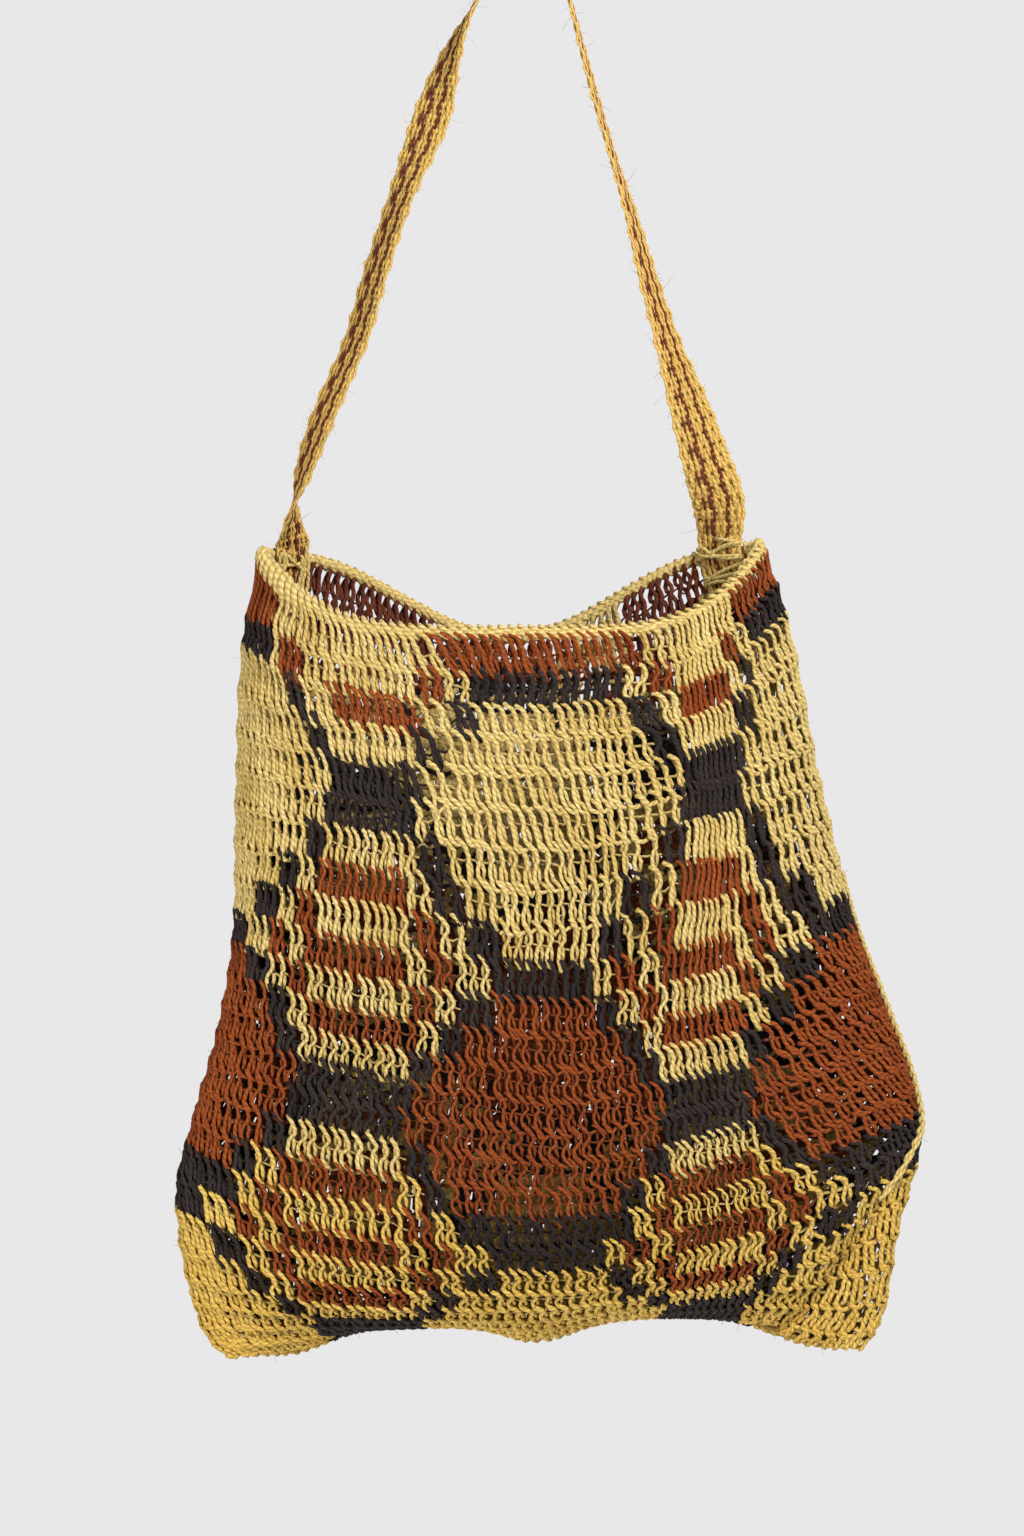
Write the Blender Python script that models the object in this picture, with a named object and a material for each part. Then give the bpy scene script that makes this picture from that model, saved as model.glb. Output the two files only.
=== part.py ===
"""A looped string bag, hanging by its woven strap.

The bag is one hollow looped body, closed along its bottom and open at the mouth. A thick edging
cord runs round the mouth, and one flat strap has both ends sewn inside it. The origin is the
point that holds the strap up, the underside of the strap's top. +X is to the right, -Y is the
front and +Z is up. The driving sizes are millimetres, and MM turns them into metres.
"""

import math
from collections import namedtuple

import bmesh
import bpy
from mathutils import Vector

MM = 0.001
GAP = 0.3  # between pieces that touch

# The bag's wall and its two side folds.
WALL = 2.4
FOLD_RADIUS = 4.6
RIDGE = 0.6  # how far each band of loops stands out of the wall
BANDS = 25  # bands of loops, one row each, from the mouth to the bottom
INNER_BANDS = 23  # the hollow ends this many bands down
POINTS_ROUND = 48
SLOPE_STEP = 0.02  # in radians round or bands down, to read the wall's slope

# One row for each section of the hanging bag, from the mouth down. level counts bands. left and
# right are the side folds, with their heights, front_z and back_z are the heights halfway
# between them, depth is half the section's thickness, shift moves its middle backwards, sag is
# the power of the front's drooping curve, and taper is over 1 where the sides are pinched flat.
Section = namedtuple(
    "Section", "level left left_z right right_z front_z back_z depth shift sag taper"
)
SECTIONS = (
    Section(0.0, -135, -335, 118, -332, -377, -375, 54, -6, 4.4, 1.00),
    Section(2.0, -143, -383, 130, -372, -406, -404, 54, -6, 3.0, 1.00),
    Section(6.0, -146, -456, 145, -446, -476, -456, 52, -6, 1.9, 1.00),
    Section(9.5, -147, -518, 160, -510, -543, -506, 49, -6, 1.6, 1.05),
    Section(13.0, -155, -570, 178, -559, -599, -556, 45, -6, 1.5, 1.10),
    Section(16.0, -167, -613, 192, -599, -644, -600, 41, -5, 1.5, 1.15),
    Section(18.5, -176, -650, 195, -630, -679, -636, 36, -4, 1.6, 1.25),
    Section(21.0, -171, -692, 184, -670, -704, -674, 26, 0, 2.0, 1.35),
    Section(23.5, -162, -721, 177, -710, -719, -706, 13, 7, 2.0, 1.30),
    Section(25.0, -153, -731, 169, -726, -725, -725, 6, 10, 2.0, 1.20),
)
BACK_PLATEAU = 0.92  # the back droops between these shares of its half width

# Soft creases, each a trough that runs from its upper end to its lower one. side is the place
# across the front, from -1 at the left fold to 1 at the right one.
Crease = namedtuple("Crease", "top side_top bottom side_bottom width depth")
CREASES = (
    Crease(18.6, 0.97, 25.0, 0.72, 0.055, 9.0),
    Crease(20.5, -0.62, 25.0, -0.80, 0.060, 3.5),
)

# The bottom is drawn up over a stretch right of the middle, from this band down.
LIFT_TOP = 18.5
LIFT_SIDE = 0.41
LIFT_WIDTH = 0.34
LIFT_HEIGHT = 12.0
LIFT_POWER = 1.5  # over 1 where the lift comes in slowly

# The edging cord round the mouth.
EDGE_HEIGHT = 5.6
EDGE_THICKNESS = 4.0
EDGE_STEPS = 144
EDGE_SIDES = 6
EDGE_TURNS = 48  # slanting ridges round the mouth
EDGE_RIDGE = 0.35

# The strap, a flat band.
STRAP_WIDTH = 26.0
STRAP_THICKNESS = 3.0
STRAP_STEP = 3.6
STRAP_RIPPLE = 0.6  # its edges swell and narrow at each weft
SUPPORT_RADIUS = 10.0  # of whatever the strap's top hangs on
TOP_ARC = (155.0, 25.0)  # the stretch that lies on it, in degrees above +X
TOP_ARC_STEPS = 5
SEAT_GAP = 0.45

# The strap's free run, up the left side and down the right. facing is the angle of the band's
# width from +X towards +Y, in degrees, and spread is its width against the full one.
Station = namedtuple("Station", "x y z facing spread")
LEFT_RUN = (
    Station(-119.0, 10.5, -311.0, 80.0, 0.74),
    Station(-115.0, 6.5, -296.0, 112.0, 0.90),
    Station(-103.5, 3.0, -264.0, 124.0, 1.0),
    Station(-86.5, 1.0, -224.5, 124.0, 1.0),
    Station(-76.0, 0.0, -189.0, 124.0, 1.0),
    Station(-64.0, 0.0, -153.0, 126.0, 1.0),
    Station(-49.5, 0.0, -115.5, 142.0, 1.0),
    Station(-42.0, 0.0, -90.5, 126.0, 1.0),
    Station(-34.5, 0.0, -71.0, 109.0, 1.0),
    Station(-26.0, 0.0, -55.0, 97.0, 1.0),
    Station(-16.5, 0.0, -30.0, 90.0, 1.0),
)
RIGHT_RUN = (
    Station(14.5, 0.0, -30.0, 88.0, 1.0),
    Station(20.5, 0.0, -55.0, 84.0, 1.0),
    Station(32.0, 0.0, -99.0, 79.0, 1.0),
    Station(41.5, 0.0, -131.5, 78.0, 1.0),
    Station(51.0, 0.0, -162.0, 72.0, 1.0),
    Station(60.5, 1.0, -196.5, 63.0, 1.0),
    Station(70.0, 2.0, -227.0, 54.0, 1.0),
    Station(80.5, 4.0, -258.0, 34.0, 1.0),
    Station(89.0, 8.0, -284.5, 18.0, 1.0),
    Station(95.5, 13.5, -305.0, -6.0, 1.02),
)
# Where each end is sewn: the angle round the mouth's section from the right fold, past the
# back, how gathered the band is, and how many bands down it reaches.
LEFT_SEAT = -156.0
RIGHT_SEAT = -30.0
LEFT_SPREAD = 0.76
RIGHT_SPREAD = 0.93
SEAT_LEVELS = (0.35, 0.8, 1.25)
SEAT_BOW = 1.2  # the wall's hollow behind the flat band

STRAW = (0.62, 0.47, 0.17, 1.0)
STRAP_GOLD = (0.56, 0.38, 0.13, 1.0)
EDGE_STRAW = (0.60, 0.45, 0.18, 1.0)
FIBRE_ROUGHNESS = 0.75
SHARP_ANGLE = 50.0  # edges over this many degrees stay sharp


def curve_through(rows, at):
    """The rows' columns where the first column is at, on one smooth curve through them all."""
    keys = [row[0] for row in rows]
    i = max(0, min(len(rows) - 2, sum(key <= at for key in keys) - 1))
    before, start, end, after = (
        rows[max(i - 1, 0)],
        rows[i],
        rows[i + 1],
        rows[min(i + 2, len(rows) - 1)],
    )
    span = end[0] - start[0]
    t = (at - start[0]) / span
    values = [at]
    for c in range(1, len(start)):
        rise_in = span * (end[c] - before[c]) / (end[0] - before[0])
        rise_out = span * (after[c] - start[c]) / (after[0] - start[0])
        values.append(
            start[c] * (2 * t**3 - 3 * t**2 + 1)
            + end[c] * (3 * t**2 - 2 * t**3)
            + rise_in * (t**3 - 2 * t**2 + t)
            + rise_out * (t**3 - t**2)
        )
    return values


def crease_depth(level, side):
    """How far the creases draw the front in at one place."""
    drawn = 0.0
    for crease in CREASES:
        along = (level - crease.top) / (crease.bottom - crease.top)
        if along <= 0:
            continue
        middle = crease.side_top + (crease.side_bottom - crease.side_top) * along
        fade = math.sin(min(along, 0.5) * math.pi)
        drawn += crease.depth * fade * math.exp(-(((side - middle) / crease.width) ** 2))
    return drawn


def bottom_lift(level, side):
    """How far the bottom is drawn up at one place."""
    along = max(0.0, (level - LIFT_TOP) / (BANDS - LIFT_TOP))
    return LIFT_HEIGHT * along**LIFT_POWER * math.exp(-(((side - LIFT_SIDE) / LIFT_WIDTH) ** 4))


def wall_point(level, angle, inset=0.0):
    """A point of the bag's wall. angle runs from the right fold over the front to the left."""
    s = Section(*curve_through(SECTIONS, max(level, 0.0)))
    across, depth_share = math.cos(angle), abs(math.sin(angle)) ** s.taper
    front = math.sin(angle) >= 0
    half_width = (s.right - s.left) / 2 - inset
    fold = FOLD_RADIUS - inset
    past = max(0.0, (abs(across) * half_width - half_width + fold) / fold)
    cap = fold * math.sqrt(max(0.0, 1 - past * past))
    half = cap + (s.depth - FOLD_RADIUS) * depth_share
    y = s.shift * depth_share + (-half if front else half)
    if front:
        y += crease_depth(level, across)
    side_z = s.right_z if across > 0 else s.left_z
    middle_z = s.front_z if front else s.back_z
    if front:
        rise = abs(across) ** s.sag
    else:
        rise = 0.5 - 0.5 * math.cos(math.pi * min(1.0, abs(across) / BACK_PLATEAU))
    z = middle_z + (side_z - middle_z) * rise
    z += bottom_lift(level, across)
    return Vector(((s.left + s.right) / 2 + half_width * across, y, z))


def frame_on_wall(level, angle, inset):
    """The point, the direction round the bag, the outward normal and the way up the wall."""
    here = wall_point(level, angle, inset)
    after = wall_point(level, angle + SLOPE_STEP, inset)
    before = wall_point(level, angle - SLOPE_STEP, inset)
    ahead = (after - before).normalized()
    down = wall_point(level + SLOPE_STEP, angle, inset) - here
    out = ahead.cross(down).normalized()
    if out.dot(here - Vector(((SECTIONS[0].left + SECTIONS[0].right) / 2, 0, here.z))) < 0:
        out.negate()
    up = out.cross(ahead).normalized()
    if up.z < 0:
        up.negate()
    return here, ahead, out, up


def add_object(name, mesh_maker, colour):
    """One named object from a bmesh maker, with its own fibre material."""
    shape = bmesh.new()
    mesh_maker(shape)
    for vertex in shape.verts:
        vertex.co *= MM
    bmesh.ops.recalc_face_normals(shape, faces=shape.faces)
    mesh = bpy.data.meshes.new(name)
    shape.to_mesh(mesh)
    shape.free()
    mesh.shade_smooth()
    mesh.set_sharp_from_angle(angle=math.radians(SHARP_ANGLE))
    material = bpy.data.materials.new(name)
    material.use_nodes = True
    shader = material.node_tree.nodes["Principled BSDF"]
    shader.inputs["Base Color"].default_value = colour
    shader.inputs["Roughness"].default_value = FIBRE_ROUGHNESS
    shader.inputs["Metallic"].default_value = 0.0
    mesh.materials.append(material)
    made = bpy.data.objects.new(name, mesh)
    bpy.context.scene.collection.objects.link(made)
    return made


def add_ring(shape, points):
    return [shape.verts.new(point) for point in points]


def join_rings(shape, first, second):
    """A band of faces between two closed rings of as many points."""
    count = len(first)
    for i in range(count):
        j = (i + 1) % count
        shape.faces.new((first[i], first[j], second[j], second[i]))


def close_flat_ring(shape, ring):
    """Faces across a long flat ring, from its front points to the back ones across from them."""
    count = len(ring)
    half = count // 2
    for i in range(half):
        corners = [ring[i], ring[i + 1], ring[(count - i - 1) % count], ring[(count - i) % count]]
        shape.faces.new(list(dict.fromkeys(corners)))


def bag_body(shape):
    """The hollow body: banded outer rings, the mouth, and the smooth inner rings."""
    angles = [math.tau * i / POINTS_ROUND for i in range(POINTS_ROUND)]
    outer = []
    for half_band in range(2 * BANDS + 1):
        level = half_band / 2
        ridge = RIDGE if half_band % 2 else 0.0
        outer.append(add_ring(shape, [wall_point(level, a, -ridge) for a in angles]))
    inner = []
    for level in range(INNER_BANDS + 1):
        inner.append(add_ring(shape, [wall_point(level, a, WALL) for a in angles]))
    for rings in (outer, inner):
        for first, second in zip(rings, rings[1:]):
            join_rings(shape, first, second)
    join_rings(shape, outer[0], inner[0])
    close_flat_ring(shape, outer[-1])
    close_flat_ring(shape, inner[-1])


def edging_place(angle):
    """The edging's centre at one angle, with the directions round, out of and up the wall."""
    here, ahead, out, up = frame_on_wall(0.0, angle, WALL / 2)
    return here + up * (GAP + EDGE_HEIGHT / 2 + EDGE_RIDGE), ahead, out, up


def rim_edging(shape):
    """The edging cord: a closed tube with slanting ridges, standing on the wall's top edge."""
    rings = []
    for i in range(EDGE_STEPS):
        turn = i / EDGE_STEPS
        centre, _, out, up = edging_place(math.tau * turn)
        points = []
        for side in range(EDGE_SIDES):
            a = math.tau * side / EDGE_SIDES
            swell = EDGE_RIDGE * math.cos(math.tau * EDGE_TURNS * turn + a)
            points.append(
                centre
                + out * math.cos(a) * (EDGE_THICKNESS / 2 + swell)
                + up * math.sin(a) * (EDGE_HEIGHT / 2 + swell)
            )
        rings.append(add_ring(shape, points))
    for i, ring in enumerate(rings):
        join_rings(shape, ring, rings[(i + 1) % EDGE_STEPS])


def seat_stations(degrees, spread):
    """The sewn end of the strap: past the edging's inner side, then down the wall's inner face."""
    angle = math.radians(degrees)
    clear = STRAP_THICKNESS / 2 + SEAT_GAP + SEAT_BOW
    centre, ahead, out, _ = edging_place(angle)
    beside = centre - out * (EDGE_THICKNESS / 2 + EDGE_RIDGE + clear)
    facing = math.degrees(math.atan2(ahead.y, ahead.x))
    stations = [
        Station(beside.x, beside.y, beside.z + EDGE_HEIGHT, facing, spread),
        Station(*beside, facing, spread),
    ]
    for level in SEAT_LEVELS:
        here, ahead, out, _ = frame_on_wall(level, angle, WALL)
        here = here - out * clear
        facing = math.degrees(math.atan2(ahead.y, ahead.x))
        stations.append(Station(*here, facing, spread))
    return stations


def strap_stations():
    """Every station of the strap, from its left end over the top to its right end."""
    top = []
    radius = SUPPORT_RADIUS + STRAP_THICKNESS / 2
    start, end = TOP_ARC
    for step in range(TOP_ARC_STEPS + 1):
        a = math.radians(start + (end - start) * step / TOP_ARC_STEPS)
        top.append(
            Station(radius * math.cos(a), 0.0, radius * math.sin(a) - SUPPORT_RADIUS, 90.0, 1.0)
        )
    left_end = reversed(seat_stations(LEFT_SEAT, LEFT_SPREAD))
    return [*left_end, *LEFT_RUN, *top, *RIGHT_RUN, *seat_stations(RIGHT_SEAT, RIGHT_SPREAD)]


def strap_path():
    """The stations again, at even steps along one smooth curve."""
    stations = strap_stations()
    run = 0.0
    rows = []
    for i, station in enumerate(stations):
        if i:
            run += math.dist(station[:3], stations[i - 1][:3])
        rows.append((run, *station))
    steps = round(run / STRAP_STEP)
    return [Station(*curve_through(rows, run * i / steps)[1:]) for i in range(steps + 1)]


def strap(shape):
    """The band: an eight-sided flat section carried along the path, and its two cut ends."""
    path = strap_path()
    centres = [Vector(station[:3]) for station in path]
    rings = []
    for i, station in enumerate(path):
        tangent = (centres[min(i + 1, len(path) - 1)] - centres[max(i - 1, 0)]).normalized()
        facing = math.radians(station.facing)
        across = Vector((math.cos(facing), math.sin(facing), 0.0))
        across = (across - tangent * across.dot(tangent)).normalized()
        through = tangent.cross(across)
        ripple = STRAP_RIPPLE if i % 2 else 0.0
        half = STRAP_WIDTH * station.spread / 2 - ripple
        thick = STRAP_THICKNESS / 2
        outline = []
        for side, face in ((1, 1), (1, -1), (-1, -1), (-1, 1)):
            edge = (side * half, face * thick / 2)
            shoulder = (side * (half - thick), face * thick)
            outline += [shoulder, edge] if side == face else [edge, shoulder]
        rings.append(
            add_ring(shape, [centres[i] + across * u + through * v for u, v in outline])
        )
    for first, second in zip(rings, rings[1:]):
        join_rings(shape, first, second)
    shape.faces.new(rings[0])
    shape.faces.new(rings[-1])


for old in list(bpy.data.objects):
    bpy.data.objects.remove(old)
add_object("bag_body", bag_body, STRAW)
add_object("rim_edging", rim_edging, EDGE_STRAW)
add_object("strap", strap, STRAP_GOLD)
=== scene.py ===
# %% [markdown]
# A looped string bag, hanging by its strap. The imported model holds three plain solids: the bag's
# wall, the edging cord and the strap. On the real bag none of them is a skin. Each is yarn, so
# this lesson hides the solids and works the yarn itself, loop by loop, over the same shapes.

# %% Load the fixed frame
import math
from collections import namedtuple

import bpy
import numpy as np
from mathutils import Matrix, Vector


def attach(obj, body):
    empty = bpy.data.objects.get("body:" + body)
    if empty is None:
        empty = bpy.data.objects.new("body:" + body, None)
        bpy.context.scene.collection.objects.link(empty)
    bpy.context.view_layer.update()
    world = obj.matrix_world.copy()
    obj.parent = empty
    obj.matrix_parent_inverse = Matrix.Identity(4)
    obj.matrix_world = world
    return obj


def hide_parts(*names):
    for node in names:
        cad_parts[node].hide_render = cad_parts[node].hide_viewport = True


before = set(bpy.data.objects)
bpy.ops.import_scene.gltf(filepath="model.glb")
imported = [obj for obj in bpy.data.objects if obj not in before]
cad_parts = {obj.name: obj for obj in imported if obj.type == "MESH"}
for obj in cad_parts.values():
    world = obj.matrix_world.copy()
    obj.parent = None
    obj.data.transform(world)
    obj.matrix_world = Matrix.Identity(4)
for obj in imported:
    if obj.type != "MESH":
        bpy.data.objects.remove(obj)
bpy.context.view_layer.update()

MM = 0.001
rng = np.random.default_rng(7)
print("nodes:", sorted(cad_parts))

# %% [markdown]
# The camera stands 1.5 m in front of the bag and looks straight ahead, a little below the rim.
# At that distance the picture is 768 mm tall. The picture is portrait, and the sensor's width is
# its long side, so the lens follows from those two lengths.

# %% Camera
CAMERA_AWAY = 1.5
VIEW_TALL = 0.768
VIEW_MIDDLE = (-0.0085, -0.439)
camera = bpy.data.objects.new("camera", bpy.data.cameras.new("camera"))
bpy.context.scene.collection.objects.link(camera)
camera.location = (VIEW_MIDDLE[0], -CAMERA_AWAY, VIEW_MIDDLE[1])
camera.rotation_euler = (math.radians(90), 0, 0)
camera.data.lens = camera.data.sensor_width * CAMERA_AWAY / VIEW_TALL
bpy.context.scene.camera = camera
print("lens:", round(camera.data.lens, 1), "mm")

# %% [markdown]
# The light is plain and soft. A lamp high on the right in front gives the yarn its round shading,
# a wider and weaker one low on the left opens the shadows, and one behind lights the back. The
# room looks pale, but it lights the bag less than it shows, so that the inside stays as dark as
# it is in a real room. A hanging bag has no table under it, so the floor lies far below.

# %% Light and floor
FLOOR_BELOW, FLOOR_SIZE, FLOOR_ROUGHNESS = 1.6, 5.0, 0.9
PALE = (0.79, 0.78, 0.79, 1.0)
ROOM_SEEN, ROOM_LIGHT = 1.03, 0.30
LIT_MIDDLE = Vector((0.0, 0.0, -0.5))
LAMP_COLOUR = (1.0, 0.97, 0.93)
Lamp = namedtuple("Lamp", "name place power size")  # in metres and watts
LAMPS = (
    Lamp("key_lamp", (1.0, -1.35, 0.75), 60.0, 0.6),
    Lamp("left_lamp", (-1.3, -1.3, -0.9), 28.0, 0.9),
    Lamp("back_lamp", (0.5, 1.8, 0.4), 45.0, 1.0),
)


def pale_room():
    """A world that looks brighter than it shines."""
    made = bpy.data.worlds.new("pale_room")
    made.use_nodes = True
    nodes, links = made.node_tree.nodes, made.node_tree.links
    shining = nodes["Background"]
    seen, mix, rays = (
        nodes.new(kind)
        for kind in ("ShaderNodeBackground", "ShaderNodeMixShader", "ShaderNodeLightPath")
    )
    for background, strength in ((shining, ROOM_LIGHT), (seen, ROOM_SEEN)):
        background.inputs["Color"].default_value = PALE
        background.inputs["Strength"].default_value = strength
    links.new(rays.outputs["Is Camera Ray"], mix.inputs[0])
    links.new(shining.outputs[0], mix.inputs[1])
    links.new(seen.outputs[0], mix.inputs[2])
    links.new(mix.outputs[0], nodes["World Output"].inputs["Surface"])
    return made


def soft_lamp(lamp):
    """A square lamp that faces the bag's middle."""
    light = bpy.data.lights.new(lamp.name, "AREA")
    light.energy, light.size, light.color = lamp.power, lamp.size, LAMP_COLOUR
    made = bpy.data.objects.new(lamp.name, light)
    bpy.context.scene.collection.objects.link(made)
    made.location = lamp.place
    made.rotation_euler = (LIT_MIDDLE - made.location).to_track_quat("-Z", "Y").to_euler()


def pale_floor():
    """A plain matt floor in the room's own colour."""
    bpy.ops.mesh.primitive_plane_add(size=FLOOR_SIZE, location=(0, 0, -FLOOR_BELOW))
    made = bpy.context.object
    made.name = "floor"
    finish = bpy.data.materials.new("pale_floor")
    finish.use_nodes = True
    shader = finish.node_tree.nodes["Principled BSDF"]
    shader.inputs["Base Color"].default_value = PALE
    shader.inputs["Roughness"].default_value = FLOOR_ROUGHNESS
    made.data.materials.append(finish)
    return made


bpy.context.scene.world = pale_room()
bpy.context.scene.view_settings.view_transform = "Standard"
for lamp in LAMPS:
    soft_lamp(lamp)
floor = pale_floor()
print("lamps:", [lamp.name for lamp in LAMPS])

# %% [markdown]
# Shader maths reads best as plain expressions. `Wire` wraps one socket of one node tree, so that
# `wave * 0.5 + 0.5` adds the Math nodes by itself. Colours go through Mix nodes instead, since a
# Math node would turn them grey.


# %% Node wiring
class Wire:
    """One output socket, with arithmetic."""

    def __init__(self, tree, socket):
        self.tree, self.socket = tree, socket

    def node(self, kind, settings=(), **values):
        """A new node in the same tree: its settings first, then its sockets' values or links."""
        made = self.tree.nodes.new(kind)
        for key, value in dict(settings).items():
            setattr(made, key, value)
        for key, value in values.items():
            socket = next(s for s in made.inputs if s.name == key and s.enabled)
            self.put(socket, value)
        return made

    def put(self, socket, value):
        if isinstance(value, Wire):
            self.tree.links.new(value.socket, socket)
        else:
            socket.default_value = value

    def maths(self, operation, *values):
        made = self.tree.nodes.new("ShaderNodeMath")
        made.operation = operation
        for socket, value in zip(made.inputs, values):
            self.put(socket, value)
        return Wire(self.tree, made.outputs[0])

    def __add__(self, other):
        return self.maths("ADD", self, other)

    def __sub__(self, other):
        return self.maths("SUBTRACT", self, other)

    def __rsub__(self, other):
        return self.maths("SUBTRACT", other, self)

    def __mul__(self, other):
        return self.maths("MULTIPLY", self, other)

    __radd__ = __add__
    __rmul__ = __mul__

    def mixed(self, low, high):
        """The colour between low and high at this share."""
        made = self.tree.nodes.new("ShaderNodeMix")
        made.data_type = "RGBA"
        for name, value in (("Factor_Float", self), ("A_Color", low), ("B_Color", high)):
            socket = next(s for s in made.inputs if s.identifier == name)
            self.put(socket, value)
        return Wire(self.tree, next(s for s in made.outputs if s.identifier == "Result_Color"))


# %% [markdown]
# Hand-rolled palm fibre is two plies twisted together. It is matt, with fine streaks along it,
# and no two lengths have quite the same colour. The yarn's own map runs along and round it, so
# the twist is one slanting wave on that map, and painted shade darkens the groove between the
# plies. Every point of yarn also carries two values. `tone` says how pale it is, and
# `open_to_light` paints shade on what lies inside the bag. The strap is gold and brown, and the
# straw of the lowest rows is riper than the rest.

# %% Yarn finish
PLY_LENGTH = 6.4  # millimetres of yarn for one turn of its two plies
PLIES = 2
# Painted shade: how much the groove between the plies darkens the colour.
GROOVE_PAINTED_SHADE = 0.45  # the share of its colour that the yarn loses between its plies
STREAKS_ALONG, STREAKS_ROUND, STREAK_SCALE, STREAK_DETAIL = 0.7, 9.0, 1.8, 4.0
STREAK_CONTRAST, STREAK_SHARE = 2.2, 0.4
RELIEF_STRENGTH, RELIEF = 0.5, 0.0005
SHEEN, SHEEN_ROUGHNESS, SHINE = 0.03, 0.5, 0.1
# Each yarn's dark colour is painted shade, used in its grooves and inside the bag.
Yarn = namedtuple("Yarn", "name dark middle light roughness")  # colours as a screen shows them
YARN_COLOURS = (
    Yarn("straw_yarn", (96, 73, 34), (188, 158, 82), (223, 203, 138), 0.75),
    Yarn("rust_yarn", (42, 18, 8), (118, 51, 19), (156, 80, 33), 0.8),
    Yarn("charcoal_yarn", (6, 5, 5), (28, 22, 22), (60, 51, 48), 0.75),
    Yarn("gold_yarn", (104, 74, 30), (196, 156, 76), (230, 196, 116), 0.75),
    Yarn("brown_yarn", (44, 17, 12), (88, 40, 29), (124, 66, 46), 0.8),
    Yarn("ripe_straw_yarn", (96, 69, 26), (192, 155, 66), (220, 191, 106), 0.75),
)
STRAW_AT, RUST_AT, CHARCOAL_AT, GOLD_AT, BROWN_AT, RIPE_AT = range(len(YARN_COLOURS))


def shader_colour(red, green, blue):
    """A shader's colour from the eight-bit one that a screen shows."""
    shares = [c / 255 for c in (red, green, blue)]
    return (*(s / 12.92 if s < 0.04045 else ((s + 0.055) / 1.055) ** 2.4 for s in shares), 1.0)


def yarn_finish(yarn):
    """Two-ply fibre yarn between three colours: painted shade in its grooves and inside the bag,
    its own colour over most of it, and where pale.
    """
    dark, middle, light = (shader_colour(*c) for c in (yarn.dark, yarn.middle, yarn.light))
    material = bpy.data.materials.new(yarn.name)
    material.use_nodes = True
    tree = material.node_tree
    shader = tree.nodes["Principled BSDF"]
    start = Wire(tree, None)
    place = start.node("ShaderNodeUVMap", {"uv_map": "yarn"})
    split = start.node("ShaderNodeSeparateXYZ", Vector=Wire(tree, place.outputs[0]))
    along, round_it = Wire(tree, split.outputs[0]), Wire(tree, split.outputs[1])
    groove = start.maths("SINE", (along + round_it) * (PLIES * math.tau)) * 0.5 + 0.5
    streak_at = start.node(
        "ShaderNodeCombineXYZ", X=along * STREAKS_ALONG, Y=round_it * STREAKS_ROUND
    )
    streaks = start.node(
        "ShaderNodeTexNoise",
        {"noise_dimensions": "2D"},
        Vector=Wire(tree, streak_at.outputs[0]),
        Scale=STREAK_SCALE,
        Detail=STREAK_DETAIL,
    )
    fibre = (Wire(tree, streaks.outputs["Fac"]) - 0.5) * STREAK_CONTRAST + 0.5
    tone, open_to_light = (
        Wire(tree, start.node("ShaderNodeAttribute", {"attribute_name": name}).outputs["Fac"])
        for name in ("tone", "open_to_light")
    )
    shade = (tone * (1 - STREAK_SHARE) + fibre * STREAK_SHARE).mixed(middle, light)
    # Painted shade: the plies' groove and the bag's inside draw the colour towards the dark one.
    lit = (groove * GROOVE_PAINTED_SHADE + (1 - GROOVE_PAINTED_SHADE)) * open_to_light
    start.put(shader.inputs["Base Color"], lit.mixed(dark, shade))
    relief = groove * 0.5 + fibre * 0.5
    bump = start.node("ShaderNodeBump", Strength=RELIEF_STRENGTH, Distance=RELIEF, Height=relief)
    start.put(shader.inputs["Normal"], Wire(tree, bump.outputs[0]))
    shader.inputs["Roughness"].default_value = yarn.roughness
    shader.inputs["Sheen Weight"].default_value = SHEEN
    shader.inputs["Sheen Roughness"].default_value = SHEEN_ROUGHNESS
    shader.inputs["Specular IOR Level"].default_value = SHINE
    return material


YARNS = [yarn_finish(yarn) for yarn in YARN_COLOURS]
print("yarns:", [yarn.name for yarn in YARN_COLOURS])

# %% [markdown]
# The bag's wall is a smooth surface through a few sections, from the mouth to the bottom. They
# are the same sections as the solid's, in millimetres, and `level` counts the rows of loops from
# the mouth down. Three things are new here. `middle` says where the pattern's centre line runs
# down the front, because the bag hangs a little askew. The last section holds the feet of the
# lowest row, and the second lift draws the bottom up a little at the left too.

# %% The wall's sections
Section = namedtuple(
    "Section",
    "level left left_z right right_z front_z back_z depth shift sag taper middle",
)
SECTIONS = (
    Section(0, -135, -335, 118, -332, -377, -375, 54, -6, 4.4, 1.00, 9),
    Section(2, -143, -383, 130, -372, -406, -404, 54, -6, 3, 1.00, 10),
    Section(6, -146, -456, 145, -446, -476, -456, 52, -6, 1.9, 1.00, 12),
    Section(9.5, -147, -518, 160, -510, -543, -506, 49, -6, 1.6, 1.05, 6),
    Section(13, -155, -570, 178, -559, -599, -556, 45, -6, 1.5, 1.10, 5),
    Section(16, -167, -613, 192, -599, -644, -600, 41, -5, 1.5, 1.15, 5),
    Section(18.5, -176, -650, 195, -630, -679, -636, 36, -4, 1.6, 1.25, 9),
    Section(21, -171, -692, 184, -670, -704, -674, 26, 0, 2, 1.35, 10),
    Section(23.5, -162, -721, 177, -710, -719, -706, 13, 7, 2, 1.30, 10),
    Section(25, -153, -731, 169, -726, -725, -725, 6, 10, 2, 1.20, 10),
    Section(26, -150, -733, 166, -729, -728, -728, 1.4, 11, 2, 1.10, 10),
)
TABLE = np.array(SECTIONS, float)
FOLD_RADIUS = 4.6
WALL = 2.4
BACK_PLATEAU = 0.92  # the back's edge droops inside this share of the half width
Crease = namedtuple("Crease", "top side_top bottom side_bottom width depth")
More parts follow.
